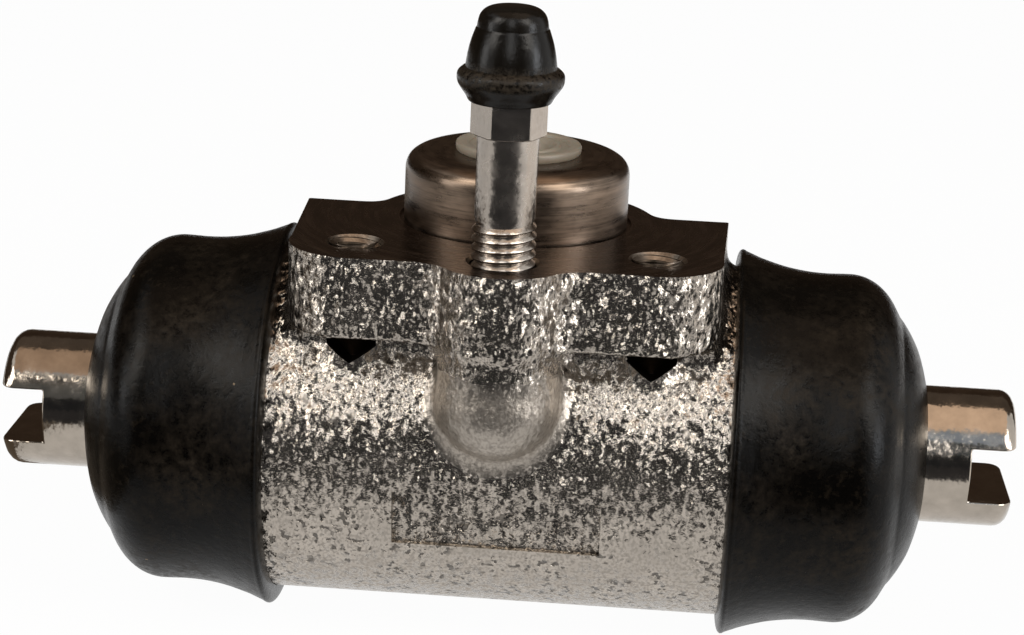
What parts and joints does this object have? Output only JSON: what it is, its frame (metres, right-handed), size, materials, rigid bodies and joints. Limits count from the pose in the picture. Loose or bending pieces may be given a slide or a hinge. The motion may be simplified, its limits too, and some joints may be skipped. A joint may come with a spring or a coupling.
{
  "type": "wheel cylinder",
  "caption": "Hydraulic drum-brake wheel cylinder: cast barrel with locating spigot and tapped flange, rubber dust boots, slotted thrust pins and a capped bleed screw.",
  "frame": {"origin": "on the spigot axis, in the plane of the machined mounting face", "axes": "+Z out of the mounting face along the spigot, +X along the bore towards the right-hand thrust pin, -Y towards the bleed screw"},
  "size_m": [0.1144, 0.0478, 0.0737],
  "materials": {
    "zinc_casting": "zinc-plated casting with machined mounting face and spigot",
    "boot_rubber": "dull moulded rubber with dusty scuffs",
    "pin_steel": "zinc-plated turned steel",
    "piston_alloy": "turned alloy",
    "cup_rubber": "smooth rubber",
    "seat_steel": "passivated pressed steel",
    "spring_steel": "drawn spring wire",
    "screw_steel": "bright zinc-plated steel",
    "cap_rubber": "glossy moulded rubber",
    "plug_plastic": "cream moulded plastic"
  },
  "bodies": {
    "cylinder": {"cylinder_body": "zinc_casting", "left_boot": "boot_rubber", "right_boot": "boot_rubber", "return_spring": "spring_steel"},
    "left_piston": {"left_piston": "piston_alloy", "left_cup_seal": "cup_rubber", "left_spring_seat": "seat_steel"},
    "right_piston": {"right_piston": "piston_alloy", "right_cup_seal": "cup_rubber", "right_spring_seat": "seat_steel"},
    "left_pin": {"left_thrust_pin": "pin_steel"},
    "right_pin": {"right_thrust_pin": "pin_steel"},
    "bleed_screw": {"bleed_screw": "screw_steel"},
    "bleed_cap": {"bleed_cap": "cap_rubber"},
    "inlet_plug": {"inlet_plug": "plug_plastic"}
  },
  "joints": [
    {"name": "left_piston_slide", "type": "slide", "parent": "cylinder", "child": "left_piston", "axis": [-1, 0, 0], "range_m": [-0.003, 0.008], "deforming": ["left_boot", "return_spring"]},
    {"name": "right_piston_slide", "type": "slide", "parent": "cylinder", "child": "right_piston", "axis": [1, 0, 0], "range_m": [-0.003, 0.008], "deforming": ["right_boot", "return_spring"]},
    {"name": "left_pin_turn", "type": "hinge", "parent": "left_piston", "child": "left_pin", "pos_m": [-0.05, 0, -0.0246], "axis": [-1, 0, 0], "continuous": true},
    {"name": "right_pin_turn", "type": "hinge", "parent": "right_piston", "child": "right_pin", "pos_m": [0.05, 0, -0.0246], "axis": [1, 0, 0], "continuous": true},
    {"name": "bleed_screw_turn", "type": "hinge", "parent": "cylinder", "child": "bleed_screw", "pos_m": [0, -0.0188, 0], "axis": [0, 0, 1], "range_deg": [0, 270]},
    {"name": "bleed_cap_pull", "type": "slide", "parent": "bleed_screw", "child": "bleed_cap", "axis": [0, 0, 1], "range_m": [0, 0.012]},
    {"name": "inlet_plug_pull", "type": "slide", "parent": "cylinder", "child": "inlet_plug", "axis": [0, 0, 1], "range_m": [0, 0.012]}
  ]
}
